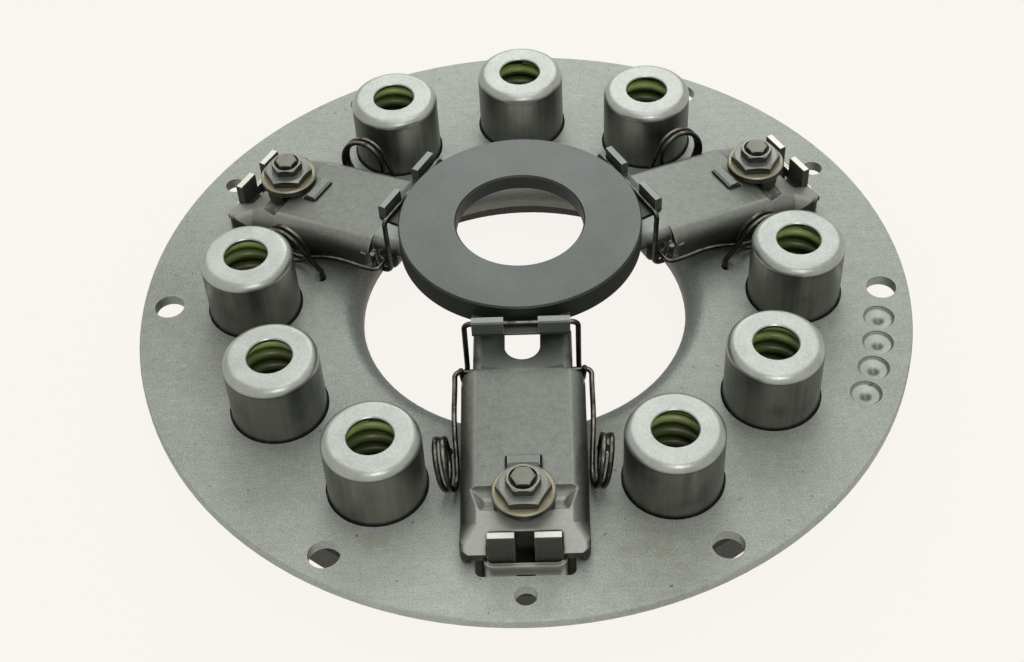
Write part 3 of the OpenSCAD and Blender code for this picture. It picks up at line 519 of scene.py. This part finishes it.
# Painted highlight along the rolled edges.
strip = leaf_finish.mix(leaf_finish.edges(0.0012) * 0.8, strip, tone(226, 226, 219))
leaf_finish.surface(
    base_color=strip,
    metallic=0.8,
    roughness=0.32 + strip_grain * 0.16,
    normal=leaf_finish.bump(strip_grain, 0.00003),
)
leaf_finish.paint_three("lug_leaf")


# Lever bolts, cross pins, nuts and rocker washers. Turned and cold-headed steel, each with its own treatment:
# steel bolts, ground pins, phosphated nuts staked to the bolt, and washers passivated olive yellow.
def small_part_finish(stem, name, color, edge_color, metallic, roughness, grain_scale, shade_below):
    """A lathe part's finish, its upright sides painted dark as shade and painted nearly black as shade below
    a height where it sits inside the next piece.
    """
    finish = Finish(name)
    cloud = finish.noise(160, 5)
    tooth = finish.noise(grain_scale, 3)
    side_wall = 1 - finish.step(finish.facing_up, 0.1, 0.7)
    shade_fade = 0.0002
    painted_shade = finish.step(finish.height, shade_below + shade_fade, shade_below - shade_fade)
    base = finish.shade(color, 0.45 + cloud * 0.5 + tooth * 0.5)
    # Upright sides painted dark as shade.
    base = finish.mix(side_wall * 0.88, base, finish.shade(tone(50, 51, 46), 0.6 + tooth * 0.7))
    # Edges lighter: partly polish, partly a painted highlight.
    base = finish.mix(finish.edges(0.0004, 0.03, 0.2) * 0.55, base, edge_color)
    # Painted shade: nearly black below where the part sits inside the next piece.
    base = finish.mix(painted_shade * 0.85, base, tone(44, 44, 38))
    finish.surface(
        base_color=base,
        metallic=metallic,
        roughness=roughness + tooth * 0.14 + cloud * 0.06,
        normal=finish.bump(tooth, 0.00005),
    )
    finish.paint_three(stem)


bolt_end, washer_face, nut_foot, no_shade = 0.0016, 0.0034, 0.0003, -1.0
small_part_finish(
    "lever_bolt", "bolt_steel", tone(122, 123, 113), tone(168, 168, 156),
    metallic=0.6, roughness=0.4, grain_scale=1500, shade_below=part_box("lever_bolt_1")[1].z - bolt_end)
small_part_finish(
    "bolt_pin", "ground_pin", tone(168, 168, 164), tone(205, 205, 200),
    metallic=0.9, roughness=0.25, grain_scale=2200, shade_below=no_shade)
small_part_finish(
    "lever_nut", "phosphated_nut", tone(128, 131, 124), tone(188, 191, 184),
    metallic=0.75, roughness=0.3, grain_scale=1300, shade_below=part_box("lever_nut_1")[0].z + nut_foot)
small_part_finish(
    "lever_washer", "olive_washer", tone(147, 143, 122), tone(190, 187, 166),
    metallic=0.65, roughness=0.34, grain_scale=900, shade_below=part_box("lever_washer_1")[1].z - washer_face)


# Release ring. Turned from steel and blackened, with the release bearing's face ground flat and lighter.
# Fine circular marks from grinding run round the face. The sides are nearly black, from the blackening and
# from painted shade; the lips and other upward faces are painted lighter as painted light, and the face
# darker towards the front as painted shade.
ring_finish = Finish("blackened_ring")
ring_top_z, lip_inner_r, lip_floor_z = 0.0466, 0.0487, 0.0398
marks = ring_finish.rings(3400.0, 2.0)
haze = ring_finish.noise(40, 5)
tooth = ring_finish.noise(2000, 3)
facing_up = ring_finish.step(ring_finish.facing_up, 0.8, 0.97)
ground_face = facing_up * ring_finish.step(ring_finish.height, ring_top_z - 0.0007, ring_top_z - 0.0003)
lip = ring_finish.step(ring_finish.away(), lip_inner_r, lip_inner_r + 0.0003)
lip = lip * ring_finish.step(ring_finish.height, lip_floor_z, lip_floor_z + 0.0005)
# Painted shade: the ground face darker towards the front.
painted_front_shade = ring_finish.step(ring_finish.part(ring_finish.place, "Y"), 0.03, -0.045)
# The sides are nearly black, from the blackening and from painted shade; the lips and the other upward faces
# are painted lighter as painted light.
black = ring_finish.mix(lip, tone(44, 48, 44), tone(82, 87, 82))
black = ring_finish.mix(facing_up * (1 - lip) * 0.8, black, tone(82, 89, 83))
black = ring_finish.mix(facing_up * lip * 0.9, black, tone(138, 144, 139))
black = ring_finish.shade(black, 0.3 + haze * 0.5 + tooth * 0.9)
ground = 0.25 + haze * 0.5 + marks * 0.3 + tooth * 0.7 - painted_front_shade * 0.12
coat = ring_finish.mix(ground_face, black, ring_finish.shade(tone(102, 108, 106), ground))
# Edges lighter: partly polish, partly a painted highlight.
coat = ring_finish.mix(ring_finish.edges(0.0005, 0.03, 0.2) * 0.6, coat, tone(160, 167, 162))
ring_finish.surface(
    base_color=coat,
    metallic=0.6,
    roughness=0.46 + ground_face * 0.04 + tooth * 0.1,
    normal=ring_finish.bump(marks * ground_face * 0.5 + tooth * 0.5, 0.00004),
)
ring_finish.paint(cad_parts["release_ring"])


# Bails and torsion springs. Oil-hardened spring wire 2 mm thick, dark brown-black with a soft gloss.
# Each lever has two torsion springs; their ends meet in the hooks of the bail that ties ring and lever.
wire_finish = Finish("spring_wire")
scale_marks = wire_finish.noise(260, 4)
polish = wire_finish.noise(1400, 3)
# Painted highlight along the wire's upper side, broken up by the scale marks.
painted_light = wire_finish.step(wire_finish.facing_up, 0.6, 0.95) * wire_finish.step(scale_marks, 0.75, 0.35)
dark = wire_finish.mix(wire_finish.step(scale_marks, 0.4, 0.68), tone(58, 56, 51), tone(37, 36, 33))
dark = wire_finish.shade(dark, 0.75 + polish * 0.5)
dark = wire_finish.mix(painted_light * 0.6, dark, tone(150, 147, 138))
wire_finish.surface(
    base_color=dark,
    metallic=0.85,
    roughness=0.16 + scale_marks * 0.22,
    normal=wire_finish.bump(polish, 0.00003),
)


def bend(before, corner, after, radius, steps=8):
    """Points that carry a wire round a corner on an arc."""
    before, corner, after = Vector(before), Vector(corner), Vector(after)
    one, other = (before - corner).normalized(), (after - corner).normalized()
    half = one.angle(other) / 2
    arc_start = corner + one * radius / math.tan(half)
    centre = corner + (one + other).normalized() * radius / math.sin(half)
    across = (arc_start - centre).normalized()
    along = (-one - (-one).dot(across) * across).normalized()
    sweep = math.pi - 2 * half
    return [
        centre + radius * (math.cos(sweep * k / steps) * across + math.sin(sweep * k / steps) * along)
        for k in range(steps + 1)]


def rounded_line(corners, radius):
    """The points of a wire that runs from corner to corner and is bent at each one between its ends."""
    points = [Vector(corners[0])]
    for before, corner, after in zip(corners, corners[1:], corners[2:]):
        points += bend(before, corner, after, radius)
    return points + [Vector(corners[-1])]


def in_metres(points, side=1):
    """Points in millimetres as points in metres, on the lever's left or, with side -1, its right."""
    return [(x / 1000, side * y / 1000, z / 1000) for x, y, z in points]


# The wires' lines are in millimetres for a lever along +X, with y to its left.
eyelet_r, eyelet_z = 50.6, 18.2
bar_r, bar_z, leg_side, bail_bend_r = 48.0, 41.0, 20.5, 2.4
hook_half, hook_floor_z = 3.4, 15.4
hook_lean, tip_lean, tip_rise = 1.2, 2, 5
bail_half = rounded_line([
    (bar_r, 0, bar_z),
    (bar_r, leg_side, bar_z),
    (eyelet_r - hook_half, leg_side, hook_floor_z),
    (eyelet_r + hook_half, leg_side + hook_lean, hook_floor_z),
    (eyelet_r + hook_half, leg_side + tip_lean, eyelet_z + tip_rise)], bail_bend_r)
bail_line = [(x, -y, z) for x, y, z in reversed(bail_half)] + [tuple(p) for p in bail_half[1:]]

coil_r, coil_centre_r, coil_centre_z = 9.15, 91.5, 16
coil_side, coil_pitch, coil_lean = 24.1, 2.7, 2.7
turn_start, turn_end, coil_steps = -16 / 360, 1 + 238 / 360, 80
coil_line = []
for step in range(coil_steps + 1):
    turn = turn_start + (turn_end - turn_start) * step / coil_steps
    swing = math.tau * turn
    coil_line.append(Vector((
        coil_centre_r + coil_r * math.sin(swing),
        coil_side + coil_pitch * turn + coil_lean * (1 - math.cos(swing)) / 2,
        coil_centre_z - coil_r * math.cos(swing))))

torsion_bend_r, ear_side, leg_start_side = 2.2, 12.7, 25.1
leg_rise, leg_bow, leg_steps = 2.6, 0.5, 14
ear_corners = [(eyelet_r, ear_side, eyelet_z), (eyelet_r, leg_start_side, eyelet_z), coil_line[0]]
long_leg = rounded_line(ear_corners, torsion_bend_r)
bow_start = long_leg[-2]
for step in range(1, leg_steps):
    share = step / leg_steps
    swell = math.sin(math.pi * share) ** 2
    long_leg.insert(-1, bow_start.lerp(coil_line[0], share) + Vector((0, leg_bow * swell, leg_rise * swell)))

foot_r, foot_side, foot_bend_z, foot_end_z = 75.9, 28.4, 8.2, -3.5
foot_end = Vector((foot_r, foot_side, foot_end_z))
short_leg = bend(coil_line[-1], (foot_r, foot_side, foot_bend_z), foot_end, torsion_bend_r)
torsion_line = long_leg[:-1] + coil_line + short_leg + [foot_end]

wire_thickness = 0.002
lever_angles = [math.radians(a) for a in (-90, 30, 150)]
for lever, angle in enumerate(lever_angles, 1):
    bail = bent_wire(f"bail_wire_{lever}", in_metres(bail_line), wire_thickness)
    bail.data.transform(Matrix.Rotation(angle, 4, "Z"))
    wire_finish.paint(bail)
    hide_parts(f"ring_bail_{lever}")
    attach(bail, "ring")
    for side in (1, -1):
        number = 2 * lever if side == 1 else 2 * lever - 1
        torsion = bent_wire(f"torsion_wire_{number}", in_metres(torsion_line, side), wire_thickness)
        torsion.data.transform(Matrix.Rotation(angle, 4, "Z"))
        wire_finish.paint(torsion)
        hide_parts(f"torsion_spring_{number}")
        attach(torsion, f"lever_{lever}")


# The scene shows colours plainly.
bpy.context.scene.view_settings.view_transform = "Standard"
